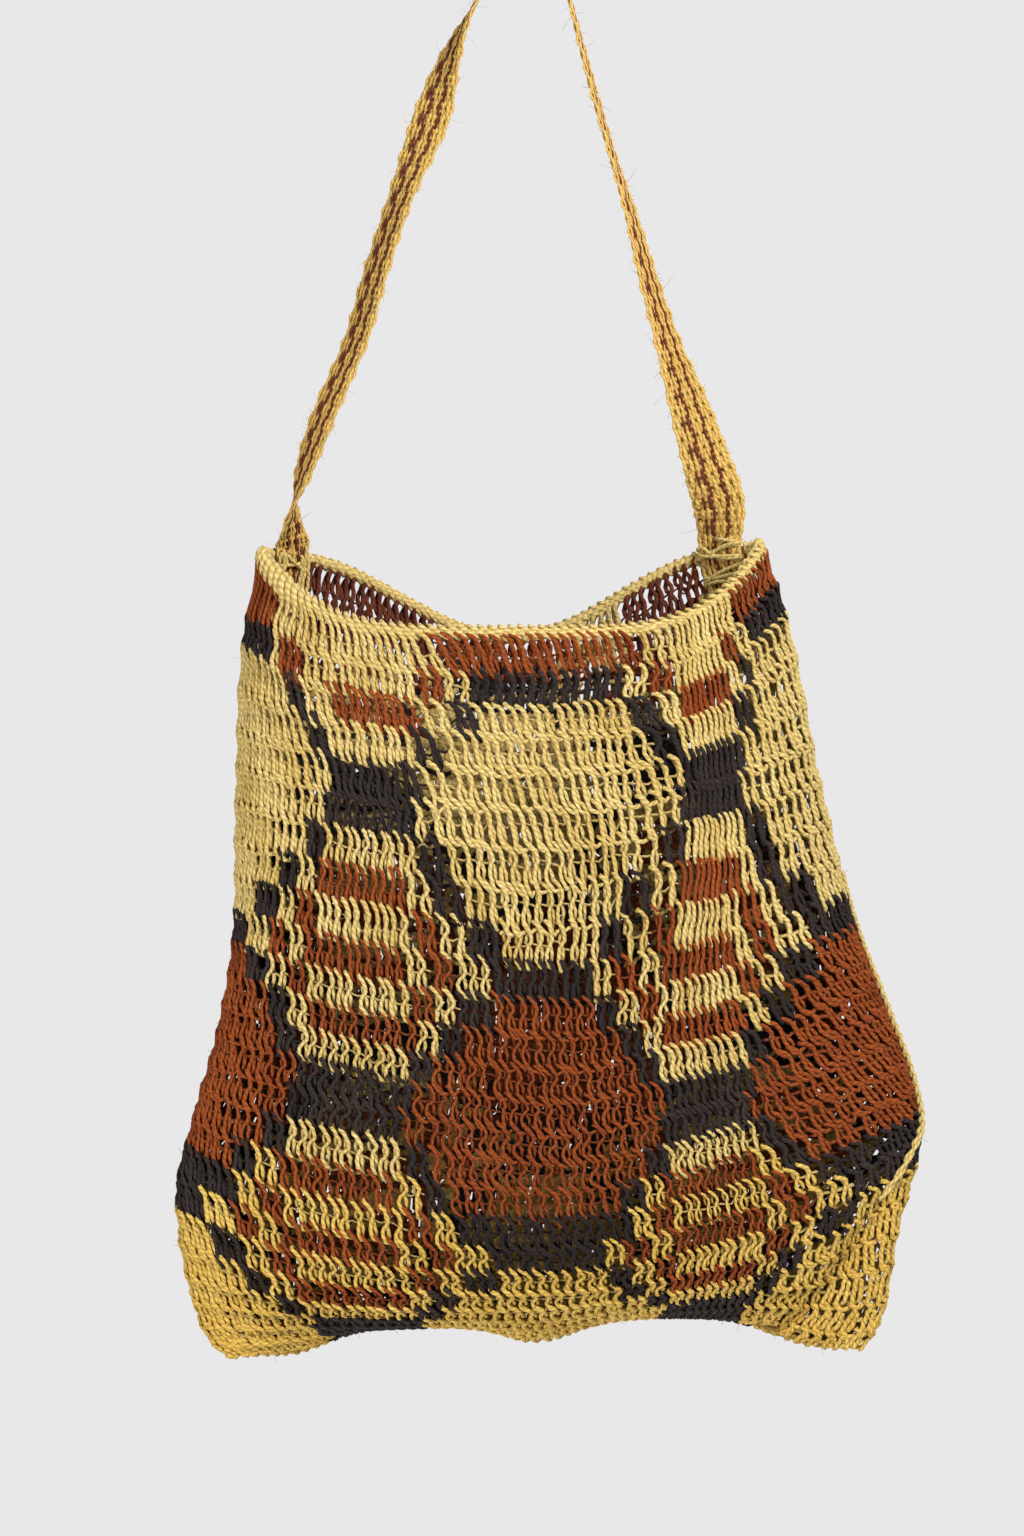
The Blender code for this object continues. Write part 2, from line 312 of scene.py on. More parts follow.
CREASES = (
    Crease(18.6, 0.97, 25, 0.72, 0.055, 9),
    Crease(20.5, -0.62, 25, -0.80, 0.060, 3.5),
)
Lift = namedtuple("Lift", "top side width height power")
LIFTS = (Lift(18.5, 0.41, 0.34, 12.0, 1.5), Lift(21.5, -0.42, 0.30, 9.0, 1.5))
LIFTED_UNTIL = 25  # the level where the lifts reach their whole height


def rows_at(table, at):
    """The table's rows wherever its first column is at, on smooth curves through them all."""
    at = np.clip(np.atleast_1d(np.asarray(at, float)), table[0, 0], table[-1, 0])
    last = len(table) - 1
    i = np.clip(np.searchsorted(table[:, 0], at, side="right") - 1, 0, last - 1)
    before, start, end, after = (table[np.clip(i + step, 0, last)] for step in (-1, 0, 1, 2))
    span = (end - start)[:, :1]
    t = (at[:, None] - start[:, :1]) / span
    rise_in = span * (end - before) / (end - before)[:, :1]
    rise_out = span * (after - start) / (after - start)[:, :1]
    return (
        start * (2 * t**3 - 3 * t**2 + 1)
        + end * (3 * t**2 - 2 * t**3)
        + rise_in * (t**3 - 2 * t**2 + t)
        + rise_out * (t**3 - t**2)
    )


def crease_depth(level, side):
    """How far the creases draw the front in."""
    drawn = np.zeros_like(side)
    for crease in CREASES:
        along = np.maximum(0.0, (level - crease.top) / (crease.bottom - crease.top))
        middle = crease.side_top + (crease.side_bottom - crease.side_top) * along
        fade = np.sin(np.minimum(along, 0.5) * np.pi)
        drawn += crease.depth * fade * np.exp(-(((side - middle) / crease.width) ** 2))
    return drawn


def wall(level, angle, inset):
    """Points of the wall. angle runs from the right fold over the front to the left one."""
    level, angle = np.broadcast_arrays(np.asarray(level, float), np.asarray(angle, float))
    shape = level.shape
    level, angle = level.ravel(), angle.ravel()
    s = Section(*rows_at(TABLE, level).T)
    across, depth_share = np.cos(angle), np.abs(np.sin(angle)) ** s.taper
    front = np.sin(angle) >= 0
    half_width = (s.right - s.left) / 2 - inset
    fold = FOLD_RADIUS - inset
    past = np.maximum(0.0, (np.abs(across) * half_width - half_width + fold) / fold)
    half = fold * np.sqrt(np.maximum(0.0, 1 - past**2)) + (s.depth - FOLD_RADIUS) * depth_share
    y = s.shift * depth_share + np.where(front, crease_depth(level, across) - half, half)
    side_z = np.where(across > 0, s.right_z, s.left_z)
    middle_z = np.where(front, s.front_z, s.back_z)
    plateau = 0.5 - 0.5 * np.cos(np.pi * np.minimum(1.0, np.abs(across) / BACK_PLATEAU))
    rise = np.where(front, np.abs(across) ** s.sag, plateau)
    z = middle_z + (side_z - middle_z) * rise
    for lift in LIFTS:
        grown = np.maximum(0.0, (level - lift.top) / (LIFTED_UNTIL - lift.top)) ** lift.power
        z = z + grown * lift.height * np.exp(-(((across - lift.side) / lift.width) ** 4))
    points = np.stack([(s.left + s.right) / 2 + half_width * across, y, z], -1)
    return points.reshape(*shape, 3)


# %% [markdown]
# Loops have to be spaced by the length of cloth round the bag and not by angle, or they would
# crowd at the folds. So the wall is read once on a fine grid: levels down it, and equal shares of
# the way round, counted from the pattern's centre line towards the right. Looking a place up on
# the grid then gives a point of the wall, and the grid's own slopes give the way out of it.

# %% The wall as a grid
LEVEL_STEP = 0.1
LEVELS = np.arange(0.0, TABLE[-1, 0] + LEVEL_STEP / 2, LEVEL_STEP)
SHARES = 720
TINY = 1e-12


def unit(vectors):
    return vectors / np.maximum(np.linalg.norm(vectors, axis=-1, keepdims=True), TINY)


def dot(a, b):
    return (a * b).sum(-1, keepdims=True)


def even_round(level):
    """One section of the wall at equal steps round it, from the pattern's centre line."""
    angles = np.linspace(0.0, math.tau, 4 * SHARES + 1)
    ring = wall(level, angles, WALL / 2)
    run = np.concatenate([[0.0], np.linalg.norm(np.diff(ring, axis=0), axis=1).cumsum()])
    front = angles <= math.pi
    middle = rows_at(TABLE, level)[0, -1]
    start = np.interp(-middle, -ring[front, 0], run[front])
    want = (start - run[-1] * np.arange(SHARES + 1) / SHARES) % run[-1]
    return np.stack([np.interp(want, run, ring[:, axis]) for axis in range(3)], -1), run[-1]


rings = [even_round(level) for level in LEVELS]
GRID = np.array([ring for ring, _ in rings])
ROUND = np.array([length for _, length in rings])
down_slope = np.gradient(GRID, LEVEL_STEP, axis=0)
wrapped = np.concatenate([GRID[:, -2:-1], GRID, GRID[:, 1:2]], axis=1)
round_slope = (wrapped[:, 2:] - wrapped[:, :-2]) * (SHARES / 2)
OUTWARD = unit(np.cross(down_slope, round_slope))
JUST_INSIDE = len(LEVELS) - 1.001  # of the grid's last level
print("round the mouth:", round(ROUND[0]), "mm, at the widest:", round(ROUND.max()), "mm")


def read_grid(grid, level, turn):
    """Values of a grid at levels and shares of a turn, between its points."""
    row = np.clip(level / LEVEL_STEP, 0, JUST_INSIDE)
    column = (turn % 1.0) * SHARES
    i, j = row.astype(int), np.minimum(column.astype(int), SHARES - 1)
    a, b = (row - i)[..., None], (column - j)[..., None]
    return (grid[i, j] * (1 - b) + grid[i, j + 1] * b) * (1 - a) + (
        grid[i + 1, j] * (1 - b) + grid[i + 1, j + 1] * b
    ) * a


def on_bag(level, turn, out):
    """Points at a level and a share of a turn, out millimetres off the wall's middle."""
    above = np.minimum(level, 0.0)[..., None]
    point = read_grid(GRID, np.maximum(level, 0.0), turn)
    point = point + read_grid(down_slope, np.zeros_like(level), turn) * above
    return point + read_grid(OUTWARD, np.maximum(level, 0.0), turn) * out[..., None]


# %% [markdown]
# Every yarn in the lesson is a tube carried along a path. All the tubes of a piece are made in
# one go as arrays, which takes a second where thousands of operators would take an hour. Each
# gets a `yarn` map, along and round it, and a second map with a cell for each short length.

# %% Tubes from paths
BAKE_MAP = "OFBake"
CELL_MARGIN = 0.06
OPEN_FROM, HIDDEN_DEPTH = 0.9, 2.4  # millimetres off the wall's middle, and in from there
FACE_CORNERS = (0, 0), (0, 1), (1, 1), (1, 0)  # in steps along a tube and round it
FIRST_SIDE = (0.31, 0.22, 0.93)  # no tube begins along this direction


def carried_frame(paths, closed):
    """Two directions across each path, carried along it so that the tube never twists."""
    ahead = unit(np.roll(paths, -1, 1) - np.roll(paths, 1, 1))
    if not closed:
        ahead[:, 0] = unit(paths[:, 1] - paths[:, 0])
        ahead[:, -1] = unit(paths[:, -1] - paths[:, -2])
    side = np.empty_like(paths)
    current = np.cross(ahead[:, 0], FIRST_SIDE)
    for i in range(paths.shape[1]):
        current = unit(current - ahead[:, i] * dot(current, ahead[:, i]))
        side[:, i] = current
    other = np.cross(ahead, side)
    if closed:
        back = unit(current - ahead[:, 0] * dot(current, ahead[:, 0]))
        excess = np.arctan2(dot(back, other[:, 0]), dot(back, side[:, 0]))
        turn = -excess[:, None] * np.linspace(0, 1, paths.shape[1], endpoint=False)[:, None]
        side = side * np.cos(turn) + other * np.sin(turn)
        other = np.cross(ahead, side)
    return side, other


def add_faces(mesh, points, sides, closed, slots):
    """Faces with four corners round every tube, and a cap on each open end."""
    tube, span, side = np.indices((*slots.shape, sides))
    quads = [
        (tube * points + (span + step) % points) * sides + (side + turn) % sides
        for step, turn in FACE_CORNERS
    ]
    corners = [np.stack(quads, -1).ravel()]
    face_slots = [np.repeat(slots.ravel(), sides)]
    caps = 0 if closed else 2 * len(slots)
    if caps:
        first = (np.arange(len(slots)) * points * sides)[:, None] + np.arange(sides)
        corners += [first[:, ::-1].ravel(), (first + (points - 1) * sides).ravel()]
        face_slots += [slots[:, 0], slots[:, -1]]
    quad_starts = np.arange(side.size) * 4
    cap_starts = side.size * 4 + np.arange(caps) * sides
    mesh.loops.add(side.size * 4 + caps * sides)
    mesh.polygons.add(side.size + caps)
    mesh.loops.foreach_set("vertex_index", np.concatenate(corners))
    mesh.polygons.foreach_set("loop_start", np.concatenate([quad_starts, cap_starts]))
    mesh.polygons.foreach_set("material_index", np.concatenate(face_slots))


def add_maps(mesh, paths, spans, sides, cell):
    """The yarn's own map, and the one that has a cell for each short length."""
    tube, span, side = np.indices((len(paths), spans, sides))
    gone = np.linalg.norm(np.diff(paths, axis=1), axis=-1).cumsum(1)
    gone = np.concatenate([np.zeros((len(paths), 1)), gone, gone[:, -1:] + gone[:, :1]], 1)
    cells = tube * math.ceil(spans / cell) + span // cell
    columns = max(1, round(math.sqrt(cells.max() / 4)))
    lines = math.ceil((cells.max() + 1) / columns)
    inner = 1 - 2 * CELL_MARGIN
    yarn, bake = [], []
    for step, turn in FACE_CORNERS:
        along_cell, round_it = (span % cell + step) / cell, (side + turn) / sides
        yarn.append((gone[tube, span + step] / PLY_LENGTH, round_it))
        across = (cells % columns + CELL_MARGIN + along_cell * inner) / columns
        up = (cells // columns + CELL_MARGIN + round_it * inner) / lines
        bake.append((across, up))
    turns = np.arange(sides) * math.tau / sides
    cap = np.stack([0.5 + 0.5 * np.cos(turns), 0.5 + 0.5 * np.sin(turns)], -1)
    caps = len(mesh.polygons) - side.size
    for name, corners, cap_size in (
        ("yarn", yarn, 1.0),
        (BAKE_MAP, bake, 0.5 / max(columns, lines)),
    ):
        places = np.moveaxis(np.array(corners), (0, 1), (-2, -1)).reshape(-1, 2)
        places = np.concatenate([places, np.tile(cap * cap_size, (caps, 1))])
        layer = mesh.uv_layers.new(name=name)
        layer.uv.foreach_set("vector", places.astype(np.float32).ravel())
    mesh.uv_layers.active = mesh.uv_layers["yarn"]
    mesh.uv_layers["yarn"].active_render = True


def lit_share(reach, shelter):
    """How open each point is to the light, with painted shade on its inner side inside the bag."""
    if shelter is None:
        return np.ones(reach.shape[:3])
    off_middle, way_out, painted_shade = shelter
    off_middle = off_middle[..., None] + (reach * way_out[:, :, None]).sum(-1)
    hidden = np.clip((OPEN_FROM - off_middle) / HIDDEN_DEPTH, 0, 1)
    return 1 - painted_shade[..., None] * hidden


def tube_piece(name, paths, across, through, closed, slots, tone, shelter=None, sides=5, cell=13):
    """One mesh of tubes. across and through are half the tube's width and thickness as vectors,
    slots is each length's yarn, and tone each point's paleness. Either can be a single value.
    shelter has each point's distance off the wall's middle, the way out there, and how much
    shade is painted on the bag's inside there."""
    slots = np.broadcast_to(slots, (len(paths), paths.shape[1] - (not closed)))
    turns = (np.arange(sides) * math.tau / sides)[:, None]
    reach = across[:, :, None] * np.cos(turns) + through[:, :, None] * np.sin(turns)
    corners = paths[:, :, None] + reach
    mesh = bpy.data.meshes.new(name)
    mesh.vertices.add(corners.size // 3)
    mesh.vertices.foreach_set("co", (corners * MM).ravel())
    add_faces(mesh, paths.shape[1], sides, closed, slots)
    add_maps(mesh, paths, slots.shape[1], sides, cell)
    for share, values in (
        ("tone", np.repeat(np.broadcast_to(tone, paths.shape[:2]), sides, axis=1)),
        ("open_to_light", lit_share(reach, shelter)),
    ):
        attribute = mesh.attributes.new(share, "FLOAT", "POINT")
        attribute.data.foreach_set("value", values.astype(np.float32).ravel())
    for yarn in YARNS:
        mesh.materials.append(yarn)
    mesh.update(calc_edges=True)
    mesh.validate()
    mesh.shade_smooth()
    made = bpy.data.objects.new(name, mesh)
    bpy.context.scene.collection.objects.link(made)
    triangles = len(mesh.loops) - 2 * len(mesh.polygons)
    print(f"{name}: {len(paths)} tubes, {triangles} triangles")
    return made


def uneven_tone(usual, spread, path):
    """Paleness that differs a little at every point of a path."""
    return np.clip(usual + rng.normal(0, spread, path.shape[:2]), 0, 1)


def round_tubes(name, paths, radii, closed, slots, tone, shelter=None, flat=0.0, sides=5, cell=13):
    """Tubes that are round, or flat by this share of their thickness where they press together."""
    radii = np.broadcast_to(radii, paths.shape[:2])[..., None]
    side, other = (way * radii for way in carried_frame(paths, closed))
    if shelter:
        way_out = shelter[1]
        side, other = (way - way_out * dot(way, way_out) * flat for way in (side, other))
    return tube_piece(name, paths, side, other, closed, slots, tone, shelter, sides, cell)


# %% [markdown]
# The pattern is a traditional one of stepped hexagons and medallions, in straw, rust and charcoal.
# Four repeats go round the bag. Half a repeat is seven cells wide, so one short word for each
# band, from a hexagon's middle out to a medallion's, is the whole chart. H stands for the
# hexagon's own colour in that band.

# %% The pattern
STITCHES = 128
REPEAT = 32
CELL_ENDS = np.array((2.7, 4.4, 7.1, 8.9, 11.3, 13.3, 16))  # in stitches from the hexagon's middle
CENTRE, CORNER, WAIST, BAR = "HHHHKSS", "HHHKSRR", "HHKSRSS", "HHHHHKK"
ALL_DARK, KNOT = "KKKSRSS", "KKSRSRR"
BAND_WORDS = (
    ("R", "HHHHSSS"),
    ("K", ALL_DARK),
    *(("S", word) for word in (CORNER, CENTRE, BAR, BAR, CENTRE, CORNER, WAIST)),
    ("K", KNOT),
    *(("R", word) for word in (WAIST, CORNER, CENTRE, BAR, BAR, CENTRE, CORNER)),
    ("K", ALL_DARK),
    ("K", KNOT),
    *(("S", word) for word in (WAIST, CORNER, CENTRE, BAR, BAR, BAR)),
)
YARN_OF = {"S": STRAW_AT, "R": RUST_AT, "K": CHARCOAL_AT}
CHART = np.array(
    [[YARN_OF[hexagon if c == "H" else c] for c in word] for hexagon, word in BAND_WORDS]
)
print("bands:", len(CHART))

# %% [markdown]
# No row lies quite straight. A slip is a soft patch round one stitch and one level where
# something is pulled along: the net by some rows, or its colours by some stitches. Stitches count
# to the right from the pattern's centre line in front. At the back of the mouth the first two
# bands also have maroon loops, on both sides.

# %% Slips
Slip = namedtuple("Slip", "stitch half_width level half_height by")
COLOUR_SLIPS = (Slip(-26, 13, 0.0, 3.4, 6.2), Slip(26, 8, 2.3, 2.2, 2.2))
LEVEL_SLIPS = (
    Slip(31, 15, 2.4, 2.7, -0.50),
    Slip(-33, 9, 2.2, 1.8, -0.30),
    Slip(-32, 8, 0.9, 1.5, 0.25),
    Slip(0, 20, 1.4, 2, 0.28),
    Slip(-17, 17, 19, 6, 0.45),
)
MAROON_BANDS = 2
MAROON_BEHIND = (68, 93), (41, 49)  # from this stitch to this one, round the mouth


def from_middle(stitch, period=STITCHES):
    """A stitch counted from the nearest middle of a period, below zero on its left."""
    return (stitch + period / 2) % period - period / 2


def slipped(slips, stitch, level):
    """How far something is pulled along at a stitch and a level."""
    near = from_middle(stitch)
    total = np.zeros(np.broadcast_shapes(near.shape, np.shape(level)))
    for slip in slips:
        across = np.clip((near - slip.stitch) / slip.half_width, -1, 1)
        beside = np.clip((level - slip.level) / slip.half_height, -1, 1)
        total += slip.by * (np.cos(math.pi / 2 * across) * np.cos(math.pi / 2 * beside)) ** 2
    return total


def yarn_at(band, stitch):
    """The yarn that a stitch is worked in, from its band and its place round the bag."""
    stitch = stitch + slipped(COLOUR_SLIPS, stitch, band + 0.5)
    apart = np.abs(from_middle(stitch, REPEAT))
    cell = np.minimum(np.searchsorted(CELL_ENDS, apart, side="right"), len(CELL_ENDS) - 1)
    maroon = np.zeros(stitch.shape, bool)
    for first, last in MAROON_BEHIND:
        maroon |= (band < MAROON_BANDS) & (stitch > first) & (stitch < last)
    return np.where(maroon, BROWN_AT, CHART[band, cell])


# %% [markdown]
# The bag is looped in the figure-of-eight way: one yarn goes round and round, and at each stitch
# it comes up the back of the stitch, slips behind the row above, hooks over it from the upper
# left, and comes down the front, crossing itself at the waist and again at the foot. One short
# table of points is enough for one stitch. Each row sits nearly half a stitch further round than
# the one above. Where the net is dense, the stitch's two legs don't cross but lie side by side.

# %% One stitch
YARN_RADIUS = 1.14
STITCH = np.array([  # stitches around, rows down and yarn radii out
    (-0.36, 1.10, 1),
    (-0.13, 1.08, 0),
    (0.07, 0.98, -1.2),
    (0.17, 0.86, -0.6),
    (0.18, 0.72, 0),
    (0.09, 0.59, -0.6),
    (-0.04, 0.49, -1.4),
    (-0.14, 0.39, -0.6),
    (-0.15, 0.26, 0),
    (-0.16, 0.11, -1),
    (-0.31, -0.04, -1.8),
    (-0.55, -0.12, -0.9),
    (-0.66, -0.09, 0.5),
    (-0.50, -0.07, 1.5),
    (-0.25, 0.00, 1.7),
    (-0.04, 0.12, 1.4),
    (0.12, 0.24, 1),
    (0.14, 0.36, 0.8),
    (0.03, 0.46, 0.7),
    (-0.11, 0.58, 0.5),
    (-0.16, 0.72, 0.9),
    (-0.11, 0.88, 1.3),
    (0.06, 1.02, 1.4),
    (0.34, 1.11, 1.4),
])
BENDS = len(STITCH)
FIRST_HALF = np.arange(BENDS) < BENDS / 2
LEGS_FROM, LEGS_TO = 0.15, 0.90  # rows down the stitch
IN_LEGS = (STITCH[:, 1] > LEGS_FROM) & (STITCH[:, 1] < LEGS_TO)
LEG = np.where(IN_LEGS, np.where(FIRST_HALF, 1.0, -1.0), 0.0)
LEGS_APART, LEG_FORWARD = 0.26, 1.3  # where dense: in stitches each way, and in yarn radii
LEAN = 0.26  # stitches that the foot stands to the right of the top

# %% [markdown]
# The net is worked tightly in some places and loosely in others. Each pair below gives rows,
# stitches or levels and the values there, with straight lines in between. In some stretches the
# stitches lean more, and slips say where the yarn is worn thin, full or dark. The straw of the
# lowest rows is the riper one.

# %% Tight and loose places
DENSE_BEHIND = (0, 1, 2, 5), (0.0, 0.15, 0.6, 1.0)  # in these rows, this dense
DENSE_IN_FRONT = (0, 1, 2, 4, 7, 10, 20, 23), (0.05, 0.1, 0.2, 0.2, 0.1, 0.0, 0.0, 0.55)
DENSE_AT_RIGHT = (15, 21, 28, 37, 42), (0, 0.3, 0.6, 0.6, 0)  # at these stitches, this dense
DENSE_RIGHT_ROWS = (0, 2, 12, 14), (0, 1, 1, 0)  # and in these rows, this share of it
OPEN_LOW = (7, 10, 19, 22), (0, 1, 1, 0)  # rows that are worked more openly in front
LEAN_BY_STITCH = (
    (-60, -40, -30, -12, 6, 14, 22, 36, 48, 60),
    (0, 0, 0.1, 0.1, 0.1, 0.2, 0.75, 0.75, 0, 0),
)
LEAN_BY_ROW = (0, 1, 3, 13, 16, 19, 24), (0.3, 0.5, 1.0, 1.0, 0.6, 0.0, -0.2)
LEAN_SLIPS = (
    Slip(-24, 8, 2.5, 3, 1),
    Slip(-15, 12, 0.5, 3, 0.8),
    Slip(16, 7, 1, 3, 0.4),
    Slip(-3, 22, 4, 7, 0.55),
    Slip(12, 6, 13, 5, 0.3),
)
LEAN_OF_ROWS = (0, 0.8), (1, -1.0)  # a row, and how much more it leans in the front's middle
LEAN_MIDDLE, LEAN_HALF_WIDTH = -1, 13  # stitches
WORN = (
    Slip(-17, 6, 5, 1.8, 0.35),
    Slip(16, 7, 17, 2.2, 0.3),
    Slip(3, 8, 6.5, 3, 0.12),
)
FULL = (Slip(2, 18, 22.5, 3.0, 0.26), Slip(30, 9, 5.0, 5.0, 0.06))
BACK_FULLER = (8, 11), (0.28, 0.45)  # in these rows, so much thicker at the back
DARKER = (
    Slip(1, 16, 18, 2.5, 0.6),
    Slip(0, 20, 15, 4, 0.15),
    Slip(-29, 15, 23, 6, 0.55),
    Slip(29, 14, 23, 6, 0.45),
)
RIPE_FROM = 16  # the row where the riper straw begins
# Painted shade on the yarn's inner side, by level down the bag.
PAINTED_INSIDE_SHADE = (0.0, 1.5, 4.0), (0.2, 0.5, 0.75)  # at these levels, this dark

# %% [markdown]
# The net is also drawn wide in some places and held tight in others. So one table says where a
# stitch really lies. Its three rows are the stitch, its place by the mouth and its place lower
# down, all in even stitches from the front's middle.

# %% Where the stitches lie
PLACES = np.array([
    [
        -64, -40, -32, -24, -20.7, -16, -11.3, -8.9, -7.1, 0,
        7.1, 8.9, 11.3, 16, 20.7, 23, 26, 32, 40, 64,
    ],
    [
        -64, -40, -32.2, -24.8, -21.6, -17.4, -13.2, -10.1, -7.7, 0,
        7.2, 9.8, 12.6, 15.4, 18.3, 20.4, 23.6, 31.2, 40, 64,
    ],
    [
        -64, -40, -32.2, -24.6, -21.2, -16.5, -11.7, -9.1, -7.2, 0,
        6.9, 8.6, 10.7, 14.3, 17.9, 20.1, 23.6, 31.2, 40, 64,
    ],
]).T
HIGH_UNTIL, LOW_FROM = 7.5, 11.5  # levels


def place_of(stitch, level):
    """The share of a turn where a stitch lies."""
    near = from_middle(stitch)
    high, low = (rows_at(PLACES, near.ravel())[:, k].reshape(near.shape) for k in (1, 2))
    share_low = np.interp(level, (HIGH_UNTIL, LOW_FROM), (0, 1))
    return (high + (low - high) * share_low) / STITCHES


# %% [markdown]
# Handwork is never even. Every stitch is nudged a little by itself, and slow waves over the whole
# bag make some stretches open and others dense, thick, pale or leaning. The waves come from seeds
# of their own, so that changing one leaves the others as they are.

# %% Uneven handwork
ROWS = len(CHART)  # one for each band of the pattern
ROW_OFFSET = 0.45  # stitches that each row begins further round
CHART_READ_AT = 0.4  # stitches into each one
WAVES_ADDED = 7
Uneven = namedtuple("Uneven", "usual swing turns rate seed nudge")
SHIFT_ROUND = Uneven(0, 0.11, 14, 0.26, 4, 0.09)
SHIFT_DOWN = Uneven(0, 0.06, 11, 0.20, 5, 0.025)
LEANING = Uneven(0, 0.14, 10, 0.22, 10, 0.13)
OPENNESS = Uneven(1.15, 0.25, 9, 0.18, 3, 0.36)
SWELL = Uneven(0, 0.35, 8, 0.16, 6, 0)
THICKNESS = Uneven(0.97, 0.06, 40, 0.8, 8, 0.035)
PALENESS = Uneven(0.5, 0.32, 20, 0.6, 9, 0.16)
DROOP_NUDGE, DYED_LEAN = 0.05, 0.12
BEHIND_SHARE, BEHIND_RISE, FULL_RISE = 1.1, 2.2, 2
OPENER_LOW, OPENER_BEHIND, OPEN_ROWS_BEHIND = 0.22, 0.8, 2
DYED_THINNER, OPEN_THINNER, DENSE_THICKER, CHARCOAL_THICKER = 0.1, 0.07, 0.2, 0.2
row = np.arange(ROWS)
centre = np.arange(STITCHES)[None] + (ROW_OFFSET * row % 1.0)[:, None]


def slow_wave(kind):
    """The usual value and a smooth random field over rows and stitches, the same each run."""
    waves = np.random.default_rng(kind.seed)
    field = np.zeros((ROWS, STITCHES))
    for _ in range(WAVES_ADDED):
        turns = np.round(waves.uniform(-kind.turns, kind.turns))
        rate, phase = waves.uniform(-kind.rate, kind.rate), waves.uniform(0, math.tau)
        field += np.sin(math.tau * (turns * centre / STITCHES + rate * row[:, None]) + phase)
    return kind.usual + kind.swing * (field / (WAVES_ADDED / 2))


def nudge(size):
    """One random value for every stitch."""
    return rng.normal(0, size, (ROWS, STITCHES))


def uneven(kind):
    """The slow wave with a random value of its own for every stitch."""
    return slow_wave(kind) + nudge(kind.nudge)


def by_row(table):
    """A table's value in every row."""
    return np.interp(row, *table)[:, None]


def patches(slips):
    """The slips' value at every stitch."""
    return slipped(slips, centre, row[:, None])


to_front = np.cos(math.tau * centre / STITCHES)  # 1 in the front's middle, -1 in the back's
behind = np.clip(BEHIND_SHARE - BEHIND_RISE * to_front, 0, 1)
full_back = np.clip(-FULL_RISE * to_front, 0, 1)
near = from_middle(centre)
closed = np.maximum(behind * by_row(DENSE_BEHIND), by_row(DENSE_IN_FRONT))
closed = np.maximum(closed, np.interp(near, *DENSE_AT_RIGHT) * by_row(DENSE_RIGHT_ROWS))
loose = 1 - closed
open_low = loose * by_row(OPEN_LOW)
stitch_yarn = yarn_at(row[:, None], np.arange(STITCHES)[None] + CHART_READ_AT)
dyed = stitch_yarn != STRAW_AT
charcoal = (stitch_yarn == CHARCOAL_AT) * loose

shift_round = uneven(SHIFT_ROUND)
shift_down = uneven(SHIFT_DOWN)
leaning = uneven(LEANING) + DYED_LEAN * dyed * loose
leaning = leaning + np.interp(near, *LEAN_BY_STITCH) * by_row(LEAN_BY_ROW) + patches(LEAN_SLIPS)
for each_row, extra in LEAN_OF_ROWS:
    from_patch = (near[each_row] - LEAN_MIDDLE) / LEAN_HALF_WIDTH
    leaning[each_row] += extra * np.exp(-(from_patch**4))
openness = slow_wave(OPENNESS) + OPENER_LOW * open_low
openness = openness + OPENER_BEHIND * behind * (row < OPEN_ROWS_BEHIND)[:, None]
openness = np.stack([openness + nudge(OPENNESS.nudge) for _ in range(2)])  # one for each lobe
swell = slow_wave(SWELL)
thick = uneven(THICKNESS) - DYED_THINNER * dyed * loose
thick = thick + DENSE_THICKER * closed + full_back * by_row(BACK_FULLER)
thick = thick - OPEN_THINNER * open_low + CHARCOAL_THICKER * charcoal
thick = thick - patches(WORN) + patches(FULL)
droop = np.abs(nudge(DROOP_NUDGE))
paleness = np.clip(uneven(PALENESS) - patches(DARKER), 0, 1)
print("dense:", round(100 * closed.mean()), "%, dyed:", round(100 * dyed.mean()), "%")

# %% [markdown]
# Now every stitch is the same table of points, leaning, widened and moved by the values above,
# and laid on the wall. Where the next stitch or the next row is another yarn, the join hides
# inside. The yarn's inner side gets painted shade, darker the deeper it lies in the bag.

# %% Rows of loops
LAST_EDGES = (0.1, 0.3, 0.7)  # rows that the last three edges lie further down
OVER_EDGING = 0.12  # rows that the first hooks reach further up
WAIST_AT, FOOT_FROM, SEEN_TO = 0.48, 0.95, 1.05  # rows down the stitch
HIDDEN_JOIN = -1.6  # yarn radii off the wall's middle
BEND_NUDGE = 0.03
row_edges = np.arange(ROWS + 1.0)
row_edges[-3:] += LAST_EDGES
heights = np.diff(row_edges)[:, None, None]
down = STITCH[:, 1]
lean = LEAN * down + leaning[..., None] * (down - 0.5)
offset = STITCH[:, 0] - LEAN * down
lobe = (down > WAIST_AT).astype(int)
crossed = offset * np.where(IN_LEGS, openness[lobe].transpose(1, 2, 0), 1.0)
parallel = np.where(IN_LEGS, LEGS_APART * LEG, offset)
around = lean + crossed + (parallel - crossed) * closed[..., None]
around = around + rng.normal(0, BEND_NUDGE, around.shape)
reach = np.broadcast_to(down, (ROWS, STITCHES, BENDS)) + shift_down[..., None]
reach = reach + droop[..., None] * (down > FOOT_FROM)
stitch_level = row_edges[:-1, None, None] + heights * reach
stitch_level[0] -= OVER_EDGING * (1 - behind[0])[:, None] * (down < LEGS_FROM)
pulled = slipped(LEVEL_SLIPS, centre[..., None], stitch_level)
stitch_level = stitch_level + pulled * np.clip(stitch_level, 0, 1)
stitch_turn = place_of(centre[..., None] + around + shift_round[..., None], stitch_level)
next_row = np.roll(stitch_yarn, -1, axis=0)
joins = [
    (stitch_yarn == np.roll(stitch_yarn, step, axis=1)) & (stitch_yarn == next_row)
    for step in (1, -1)
]
shown = np.where(FIRST_HALF, joins[0][..., None], joins[1][..., None]) | (down < SEEN_TO)
forward = np.where(LEG > 0, LEG_FORWARD, 0.0) * closed[..., None]
